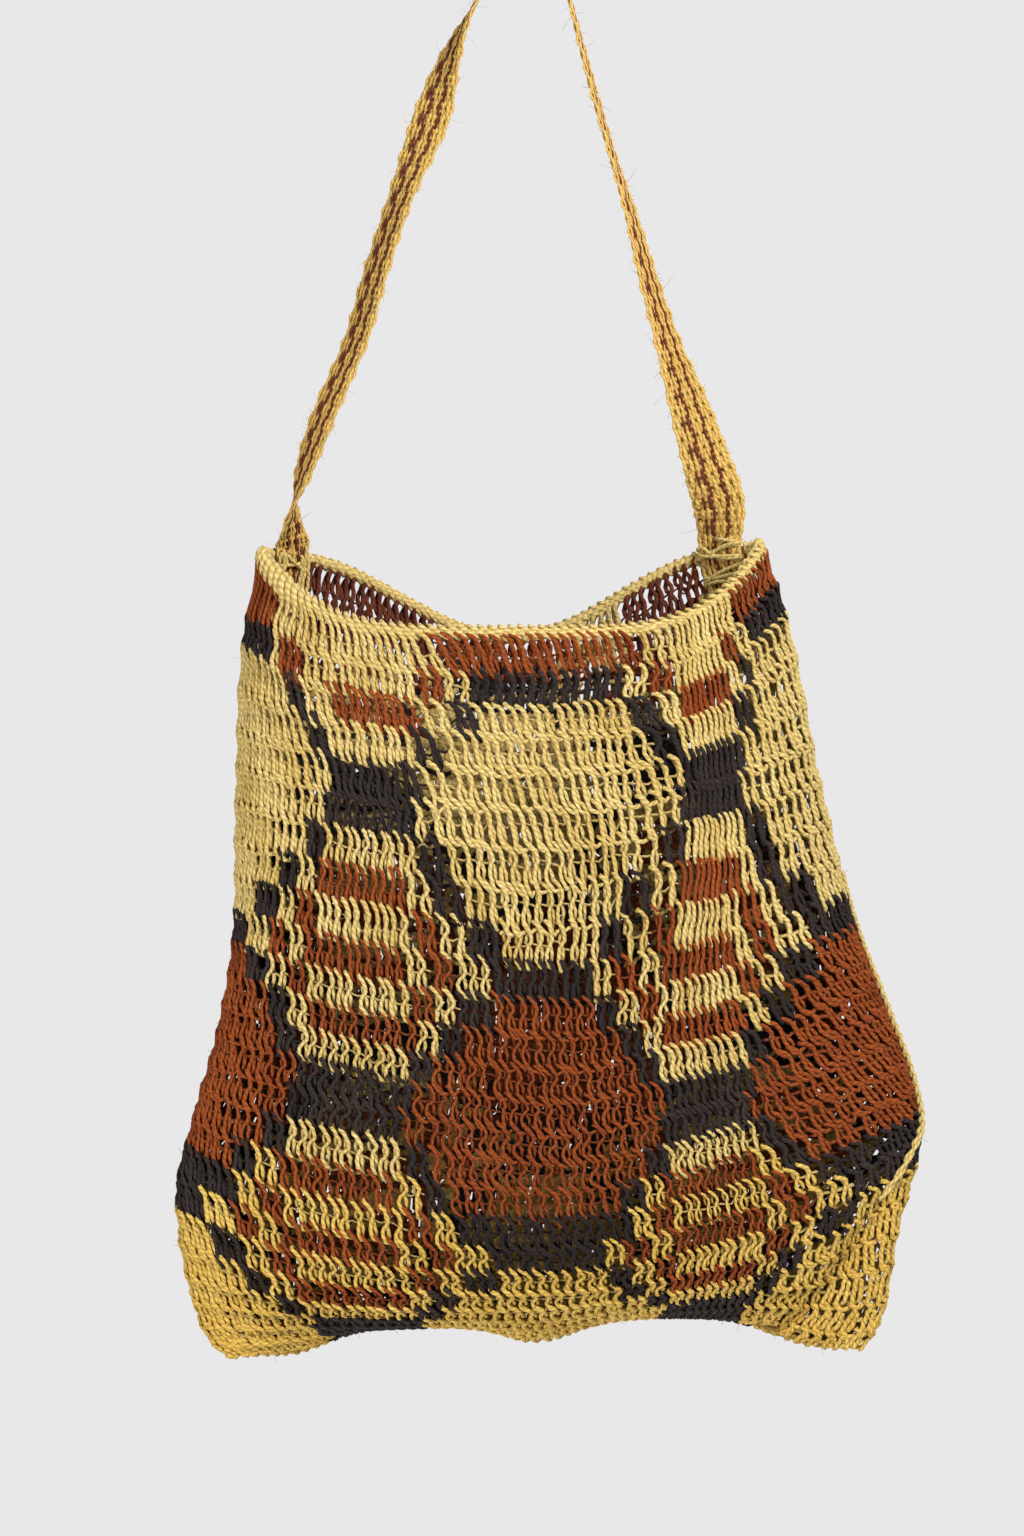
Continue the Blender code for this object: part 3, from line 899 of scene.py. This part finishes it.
stitch_out = (np.where(shown, STITCH[:, 2], HIDDEN_JOIN) + forward) * YARN_RADIUS
stitch_out = stitch_out + swell[..., None]
loops = on_bag(stitch_level, stitch_turn, stitch_out).reshape(ROWS, STITCHES * BENDS, 3)
ripe = (stitch_yarn == STRAW_AT) & (row >= RIPE_FROM)[:, None]
loop_yarn = np.repeat(np.where(ripe, RIPE_AT, stitch_yarn), BENDS, axis=1)
loop_tone = np.repeat(paleness, BENDS, axis=1)
loop_radius = YARN_RADIUS * np.repeat(thick, BENDS, axis=1)


def shelter_of(level, turn, out):
    """How much painted shade the bag's inside puts on the inner side of yarn at these places."""
    way_out = read_grid(OUTWARD, np.maximum(level, 0.0), turn)
    painted_shade = np.interp(level, *PAINTED_INSIDE_SHADE)
    return [x.reshape(ROWS, -1, *x.shape[3:]) for x in (out, way_out, painted_shade)]


loop_shelter = shelter_of(stitch_level, stitch_turn, stitch_out)

# %% [markdown]
# At the waists a thinner yarn runs through the row. It shows between the stitches as short bars.

# %% Yarn through the waists
LINK_RADIUS, LINK_RADIUS_BEHIND = 0.5, 1.4
LINK_ALONG, LINK_DOWN, LINK_OUT = (0.07, 0.57), (0.0, 0.03), (-0.6, -0.2)  # two a stitch
LINK_DOWN_NUDGE, LINK_ALONG_NUDGE = 0.07, 0.03
link_down = 0.5 + nudge(LINK_DOWN_NUDGE)[..., None] + LINK_DOWN
link_level = row_edges[:-1, None, None] + heights * link_down
link_level = link_level + slipped(LEVEL_SLIPS, centre[..., None], link_level)
link_at = centre[..., None] + np.array(LINK_ALONG) + nudge(LINK_ALONG_NUDGE)[..., None]
link_turn = place_of(link_at, link_level)
link_out = np.broadcast_to(LINK_OUT, link_level.shape)
next_yarn = np.roll(stitch_yarn, -1, axis=1)
link_yarn = np.stack([stitch_yarn, np.where(next_yarn == STRAW_AT, stitch_yarn, next_yarn)], -1)
waist_yarn = round_tubes(
    "waist_yarn",
    on_bag(link_level, link_turn, link_out).reshape(ROWS, -1, 3),
    np.repeat(LINK_RADIUS + (LINK_RADIUS_BEHIND - LINK_RADIUS) * closed, 2, axis=1),
    True,
    link_yarn.reshape(ROWS, -1),
    np.repeat(paleness, 2, axis=1),
    shelter_of(link_level, link_turn, link_out),
    sides=4,
)
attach(waist_yarn, "root")
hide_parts("bag_body")

# %% [markdown]
# The rows are made in five pieces, so that no mesh grows too big.

# %% Rows in five pieces
ROWS_A_PIECE = 5
SQUEEZED = 0.25  # of the yarn's thickness, where the net is dense
for first in range(0, ROWS, ROWS_A_PIECE):
    part = slice(first, first + ROWS_A_PIECE)
    piece = round_tubes(
        f"looped_rows_{first // ROWS_A_PIECE + 1}",
        loops[part],
        loop_radius[part],
        True,
        loop_yarn[part],
        loop_tone[part],
        [x[part] for x in loop_shelter],
        SQUEEZED * np.repeat(closed[part], BENDS, axis=1)[..., None],
        cell=BENDS,
    )
    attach(piece, "root")
    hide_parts("bag_body")

# %% [markdown]
# The edging is a thick core that a yarn is whipped round, once for each stitch. Outside, in
# front, each wrap slants down to the right; behind it is the inner side that slants. The tables
# go by the share of a turn, from the front's middle towards the right. The cord is fuller at the
# back, and taller beside the strap's two ends.

# %% Whipped edging
POINTS_A_WRAP = 10
CORE_POINTS = 2 * STITCHES
CORE_RADIUS, WRAP_RADIUS = 2.1, 1.1
EDGING_ABOVE = (0.0, 0.70, 0.745, 0.775, 0.82, 1.0), (3.2, 3.2, 1.2, 1.2, 3.2, 3.2)
WRAPS_THICKER = (0.0, 0.24, 0.32, 0.71, 0.745, 0.78, 0.82, 1.0), (1, 1, 1.2, 1.2, 1.9, 1.9, 1, 1)
CORE_THICKER = (0.0, 0.24, 0.32, 0.70, 0.74, 1.0), (1, 1, 1.35, 1.35, 1, 1)
WRAP_HALF_THICKNESS, WRAP_SLANT = 1.7, 4.2
WRAP_HALF_HEIGHT = (
    (0.0, 0.08, 0.14, 0.24, 0.31, 0.70, 0.75, 0.78, 0.84, 0.92, 1.0),
    (3.1, 3.1, 3.8, 4.4, 2.7, 2.7, 4.6, 4.6, 4.0, 3.1, 3.1),
)
WRAPS_UNEVEN, EDGING_UNEVEN = 0.05, 0.04
EDGING_TONE, EDGING_TONE_SPREAD = 0.6, 0.12
wraps = np.arange(STITCHES * POINTS_A_WRAP) / POINTS_A_WRAP
share = wraps / STITCHES
angle = math.tau * wraps
by_hand = rng.normal(1, WRAPS_UNEVEN, len(share))
slant = WRAP_SLANT * np.cos(math.tau * share) * by_hand
half_height = np.interp(share, *WRAP_HALF_HEIGHT) * by_hand
core_share = np.arange(CORE_POINTS) / CORE_POINTS


def along_rim(share, rise, reach_out):
    """Points above the wall's top edge, by their rise and their reach out of it."""
    zero = np.zeros(len(share))
    up = -unit(read_grid(down_slope, zero, share))
    out = read_grid(OUTWARD, zero, share)
    return (read_grid(GRID, zero, share) + up * rise[:, None] + out * reach_out[:, None])[None]


wrapping = along_rim(
    share - slant * np.cos(angle) / ROUND[0],
    np.interp(share, *EDGING_ABOVE) + half_height * np.cos(angle),
    WRAP_HALF_THICKNESS * np.sin(angle) * by_hand,
)
core = along_rim(core_share, np.interp(core_share, *EDGING_ABOVE), np.zeros(CORE_POINTS))
for name, path, radius, sides in (
    ("edging_core", core, CORE_RADIUS * np.interp(core_share, *CORE_THICKER), 8),
    ("edging_wraps", wrapping, WRAP_RADIUS * np.interp(share, *WRAPS_THICKER), 6),
):
    piece = round_tubes(
        name,
        path,
        radius * (1 + rng.normal(0, EDGING_UNEVEN, path.shape[:2])),
        True,
        STRAW_AT,
        uneven_tone(EDGING_TONE, EDGING_TONE_SPREAD, path),
        sides=sides,
    )
    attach(piece, "root")
    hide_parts("rim_edging")

# %% [markdown]
# Down the right fold runs a doubled straw yarn. It starts single beside the upper hexagon and
# turns in over the front near the bottom.

# %% Yarn down the right fold
FOLD_STOPS = np.array([  # level, and millimetres off the fold and either way from that
    (8.4, -3, 0.3),
    (10.5, -3.5, 0.5),
    (12.4, -4.8, 1.2),
    (14.3, -4, 1.4),
    (16.4, -3.4, 1.5),
    (17.4, -5, 1.5),
    (18.4, -14, 1.4),
    (19.4, -25, 1.2),
])
FOLD_POINTS, SMOOTHED_OVER = 180, 13
FOLD_YARN_RADIUS, FOLD_YARN_OUT, FOLD_YARN_TURNS, FOLD_YARN_FLAT = 1.1, 2.6, 15, 0.7
STRAND_TONE, STRAND_TONE_SPREAD = 0.5, 0.15
fold_level = np.linspace(FOLD_STOPS[0, 0], FOLD_STOPS[-1, 0], FOLD_POINTS)
_, from_fold, apart = rows_at(FOLD_STOPS, fold_level).T
level_row = np.rint(fold_level / LEVEL_STEP).astype(int)
fold_turn = GRID[level_row, :, 0].argmax(axis=1) / SHARES
fold_turn = np.pad(fold_turn, SMOOTHED_OVER // 2, mode="edge")
fold_turn = np.convolve(fold_turn, np.ones(SMOOTHED_OVER) / SMOOTHED_OVER, mode="valid")
fold_strands = []
for half_turn in (0.0, math.pi):
    a = np.linspace(0, math.tau * FOLD_YARN_TURNS, FOLD_POINTS) + half_turn
    turn = fold_turn + (from_fold + apart * np.cos(a)) / ROUND[level_row]
    out = FOLD_YARN_OUT + apart * FOLD_YARN_FLAT * np.sin(a)
    fold_strands.append(on_bag(fold_level, turn, out))
fold_strands = np.array(fold_strands)
fold_yarn = round_tubes(
    "fold_yarn",
    fold_strands,
    FOLD_YARN_RADIUS,
    False,
    STRAW_AT,
    uneven_tone(STRAND_TONE, STRAND_TONE_SPREAD, fold_strands),
)
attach(fold_yarn, "root")
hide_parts("bag_body")

# %% [markdown]
# The strap is a narrow warp-faced band. Its sixteen thick warps pass over and under a hidden
# weft, each opposite to its neighbours, so one brown warp makes a row of dashes and two side by
# side make an unbroken wavy line. Its route is the same as the solid's, a station every few
# centimetres. There it has its place, the way that its width runs in degrees, and how much of
# its width it keeps.

# %% The strap's route
GAP, EDGE_HEIGHT, EDGE_THICKNESS, EDGE_RIDGE = 0.3, 5.6, 4.0, 0.35
STRAP_WIDTH, STRAP_THICKNESS, SUPPORT_RADIUS = 26.0, 3.0, 10.0
SEAT_GAP, SEAT_BOW, SEAT_LEVELS, SLOPE_STEP = 0.45, 1.2, (0.35, 0.8, 1.25), 0.02
TOP_ARC, TOP_ARC_STEPS = (155.0, 25.0), 5
LEFT_RUN = (  # x, y, z, facing and share of the width
    (-119, 10.5, -311, 80, 0.74),
    (-115, 6.5, -296, 112, 0.90),
    (-103.5, 3, -264, 124, 1),
    (-86.5, 1, -224.5, 124, 1),
    (-76, 0, -189, 124, 1),
    (-64, 0, -153, 126, 1),
    (-49.5, 0, -115.5, 142, 1),
    (-42, 0, -90.5, 126, 1),
    (-34.5, 0, -71, 109, 1),
    (-26, 0, -55, 97, 1),
    (-16.5, 0, -30, 90, 1),
)
RIGHT_RUN = (
    (14.5, 0, -30, 88, 1),
    (20.5, 0, -55, 84, 1),
    (32, 0, -99, 79, 1),
    (41.5, 0, -131.5, 78, 1),
    (51, 0, -162, 72, 1),
    (60.5, 1, -196.5, 63, 1),
    (70, 2, -227, 54, 1),
    (80.5, 4, -258, 34, 1),
    (89, 8, -284.5, 18, 1),
    (95.5, 13.5, -305, -6, 1.02),
)
LEFT_SEAT, LEFT_SPREAD = -156.0, 0.76
RIGHT_SEAT, RIGHT_SPREAD = -30.0, 0.93


def wall_frame(level, angle, inset):
    """A point of the wall, with the directions round the bag, out of the wall and up it."""
    here = wall(level, angle, inset)
    ahead = unit(wall(level, angle + SLOPE_STEP, inset) - wall(level, angle - SLOPE_STEP, inset))
    down = wall(level + SLOPE_STEP, angle, inset) - here
    out = unit(np.cross(ahead, down))
    middle = np.array(((TABLE[0, 1] + TABLE[0, 3]) / 2, 0.0, here[2]))
    out = out if np.dot(out, here - middle) > 0 else -out
    up = unit(np.cross(out, ahead))
    return here, ahead, out, up if up[2] > 0 else -up


def seat_stations(degrees, spread):
    """The sewn end: past the edging's inner side, then down the wall's inner face."""
    angle = math.radians(degrees)
    clear = STRAP_THICKNESS / 2 + SEAT_GAP + SEAT_BOW
    here, ahead, out, up = wall_frame(0.0, angle, WALL / 2)
    centre = here + up * (GAP + EDGE_HEIGHT / 2 + EDGE_RIDGE)
    beside = centre - out * (EDGE_THICKNESS / 2 + EDGE_RIDGE + clear)
    facing = math.degrees(math.atan2(ahead[1], ahead[0]))
    stations = [
        (beside[0], beside[1], beside[2] + EDGE_HEIGHT, facing, spread),
        (*beside, facing, spread),
    ]
    for level in SEAT_LEVELS:
        here, ahead, out, _ = wall_frame(level, angle, WALL)
        facing = math.degrees(math.atan2(ahead[1], ahead[0]))
        stations.append((*(here - out * clear), facing, spread))
    return stations


top = []
radius = SUPPORT_RADIUS + STRAP_THICKNESS / 2
for degrees in np.linspace(*TOP_ARC, TOP_ARC_STEPS + 1):
    a = math.radians(degrees)
    top.append((radius * math.cos(a), 0.0, radius * math.sin(a) - SUPPORT_RADIUS, 90.0, 1.0))
left_end = reversed(seat_stations(LEFT_SEAT, LEFT_SPREAD))
stations = np.array(
    [*left_end, *LEFT_RUN, *top, *RIGHT_RUN, *seat_stations(RIGHT_SEAT, RIGHT_SPREAD)]
)
steps = np.linalg.norm(np.diff(stations[:, :3], axis=0), axis=1)
run = np.concatenate([[0.0], steps.cumsum()])
STRAP_LENGTH = run[-1]
print("strap:", round(STRAP_LENGTH), "mm long")

# %% [markdown]
# The warps are flat where they float on a face and narrow where they cross. Where two brown ones
# lie together, the band shows a line, and the edge warps swell out at each turn of the weft.
# The warps' order is the other way round on the strap's left half.

# %% The strap's warps
WEFT_SPACING = 7.0
POINTS_A_FLOAT = 4
WARP_COLOURS = "GGGBGBBGGGBBGGGG"
WARP_WIDTHS = np.array((1, 1, 1, 0.6, 1, 0.9, 0.6, 1, 1, 1, 0.6, 0.6, 1, 1, 1, 1))
WARP_HALF_WIDTH, WARP_HALF_THICKNESS = 1.25, 0.55
WARP_CROSSING, WARP_FLOATING = 0.80, 0.20  # of its width: everywhere, and more on a float
WARP_SWING, EDGE_SWELL, EDGE_ROOM = 0.66, 0.55, 0.4
WARP_TONE, WARP_TONE_SPREAD, WARP_TONE_ALONG = 0.35, 0.15, 0.1
wefts = round(STRAP_LENGTH / WEFT_SPACING)
points = wefts * POINTS_A_FLOAT + 1
at = np.linspace(0, STRAP_LENGTH, points)
route = rows_at(np.column_stack([run, stations]), at)[:, 1:]
line = route[:, :3]
tangent = unit(np.gradient(line, axis=0))
facing = np.radians(route[:, 3])
flat_way = np.stack([np.cos(facing), np.sin(facing), np.zeros(points)], -1)
flat_way = unit(flat_way - tangent * dot(flat_way, tangent))
face_way = np.cross(tangent, flat_way)
weft_phase = math.pi * at / STRAP_LENGTH * wefts

warps = len(WARP_COLOURS)
middles = (np.cumsum(WARP_WIDTHS) - WARP_WIDTHS / 2) / WARP_WIDTHS.sum() - 0.5
paths, across, through = [], [], []
for i, middle in enumerate(middles):
    swing = np.cos(weft_phase + math.pi * i)
    sideways = middle * (STRAP_WIDTH - EDGE_ROOM) * route[:, 4]
    if i in (0, warps - 1):
        sideways = sideways + np.sign(middle) * EDGE_SWELL * (swing**2 - 0.5)
    paths.append(line + flat_way * sideways[:, None] + face_way * (WARP_SWING * swing)[:, None])
    half = WARP_HALF_WIDTH * WARP_WIDTHS[i] * (WARP_CROSSING + WARP_FLOATING * swing**2)
    across.append(flat_way * (half * route[:, 4])[:, None])
    through.append(face_way * WARP_HALF_THICKNESS)
paths, across, through = (np.array(x) for x in (paths, across, through))
warp_yarn = np.array([GOLD_AT if c == "G" else BROWN_AT for c in WARP_COLOURS])[:, None]
warp_tone = WARP_TONE + rng.normal(0, WARP_TONE_SPREAD, (warps, 1))
warp_tone = warp_tone + rng.normal(0, WARP_TONE_ALONG, (warps, points))
strap = tube_piece(
    "strap_warps",
    paths,
    across,
    through,
    False,
    np.where(np.arange(points - 1) < points // 2, warp_yarn[::-1], warp_yarn),
    np.clip(warp_tone, 0, 1),
    cell=16,
)
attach(strap, "root")
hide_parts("strap")


def along_strap(at_length, values):
    """Points or directions of the strap's route, read at a length along it."""
    return np.stack([np.interp(at_length, at, values[:, k]) for k in range(3)], -1)


def by_strap(at_length, sideways, off_face):
    """Points beside the strap's middle line, at a length along it."""
    middle, flat, face = (along_strap(at_length, x) for x in (line, flat_way, face_way))
    return (middle + flat * sideways[:, None] + face * off_face[:, None])[None]


# %% [markdown]
# The weft is a flat yarn that goes to and fro between the warps and shows only at the edges. At
# each end of the strap a few rough wraps sew it to the bag.

# %% Weft and sewing
WEFT_STEP, WEFT_INSET, WEFT_HALF_WIDTH, WEFT_HALF_THICKNESS, WEFT_TONE = 3.5, 1.6, 1.9, 0.35, 0.1
passes = int(STRAP_LENGTH / WEFT_STEP)
weft_at = np.repeat((np.arange(passes) + 0.5) * WEFT_STEP, 2)
edge = (STRAP_WIDTH / 2 - WEFT_INSET) * np.interp(weft_at, at, route[:, 4])
swap = np.where(np.arange(2 * passes) % 4 < 2, 1, -1) * np.tile([1, -1], passes)
weft = tube_piece(
    "strap_weft",
    by_strap(weft_at, edge * swap, np.zeros(2 * passes)),
    along_strap(weft_at, tangent)[None] * WEFT_HALF_WIDTH,
    along_strap(weft_at, face_way)[None] * WEFT_HALF_THICKNESS,
    False,
    GOLD_AT,
    WEFT_TONE,
    sides=4,
)
SEWN_FROM, SEWN_TO, SEWN_RADIUS, SEWN_POINTS = 5.0, 36.0, 1.05, 70
LEGS = (-1.0, -0.78, -0.56, 0.56, 0.78, 1.0)  # sideways, in half widths of the strap
LAID_OFF_FACE, LAID_WIDE, LAID_NARROWER = 1.9, 1.15, 0.3
TURNS_AT_LEFT, TURNS_AT_RIGHT, WOUND_OFF_FACE = (1.2, -1.0), (3.5, -3.0, 2.0, -1.5), 2.2
ROUGH_POINTS, ROUGH_ALONG, ROUGH_WIDTH, ROUGH_SIDEWAYS, ROUGH_OFF_FACE = 12, 1.2, 0.1, 0.5, 0.3
sewn_share = np.linspace(0, 1, SEWN_POINTS)


def rough(size):
    """A wandering value along one strand of the sewing."""
    stops = np.linspace(0, 1, ROUGH_POINTS)
    return np.interp(sewn_share, stops, rng.normal(0, size, ROUGH_POINTS))


def sewn_strand(at_left, turns=0, leg=0, face=0):
    """One strand along an end of the strap, wound round it or laid on one of its faces."""
    length = SEWN_FROM + (SEWN_TO - SEWN_FROM) * sewn_share + rough(ROUGH_ALONG)
    length = length if at_left else STRAP_LENGTH - length
    wide = STRAP_WIDTH / 2 * np.interp(length, at, route[:, 4])
    if turns:
        a = math.tau * turns * sewn_share + rng.uniform(0, math.tau)
        sideways = wide * np.cos(a) * (1 + rough(ROUGH_WIDTH))
        return by_strap(length, sideways, WOUND_OFF_FACE * np.sin(a) + rough(ROUGH_OFF_FACE))[0]
    sideways = wide * leg * (LAID_WIDE - LAID_NARROWER * sewn_share) + rough(ROUGH_SIDEWAYS)
    return by_strap(length, sideways, face * LAID_OFF_FACE + rough(ROUGH_OFF_FACE))[0]


sewn = [sewn_strand(True, leg=leg, face=face) for leg in LEGS for face in (1, -1)]
sewn += [sewn_strand(True, turns) for turns in TURNS_AT_LEFT]
sewn += [sewn_strand(False, turns) for turns in TURNS_AT_RIGHT]
sewn = np.array(sewn)
sewing = round_tubes(
    "strap_sewing",
    sewn,
    SEWN_RADIUS,
    False,
    STRAW_AT,
    uneven_tone(STRAND_TONE, STRAND_TONE_SPREAD, sewn),
)
for piece in (weft, sewing):
    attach(piece, "root")
    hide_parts("strap")

# %% [markdown]
# Palm fibre is hairy. Short fibres stand off the yarn everywhere, a few of them long. Each has
# the colour of the loop that it grows from, and a quarter of them grow on the strap's two edges.

# %% Stray fibres
FIBRES, FIBRE_POINTS, FIBRE_RADIUS, FIBRE_TONE = 3400, 4, 0.09, 0.7
FIBRE_SHAPE, FIBRE_SCALE, SHORTEST, LONGEST, FIBRE_CURL = 2.0, 1.2, 1.2, 9.0, 0.45
on_loops = rng.integers(0, ROWS, FIBRES), rng.integers(0, loops.shape[1], FIBRES)
on_strap = np.arange(FIBRES) < FIBRES // 4
roots = np.where(
    on_strap[:, None],
    paths[rng.choice((0, warps - 1), FIBRES), rng.integers(0, points, FIBRES)],
    loops[on_loops],
)
way = unit(rng.normal(0, 1, (FIBRES, 3)))
curl = unit(rng.normal(0, 1, (FIBRES, 3)))
length = np.minimum(rng.gamma(FIBRE_SHAPE, FIBRE_SCALE, (FIBRES, 1)) + SHORTEST, LONGEST)
steps_out = np.linspace(0, 1, FIBRE_POINTS)[None, :, None]
fibres = roots[:, None] + length[:, None] * (
    way[:, None] * steps_out + curl[:, None] * FIBRE_CURL * steps_out**2
)
stray = round_tubes(
    "stray_fibres",
    fibres,
    FIBRE_RADIUS,
    False,
    np.where(on_strap, STRAW_AT, loop_yarn[on_loops])[:, None],
    FIBRE_TONE,
    sides=3,
)
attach(stray, "root")
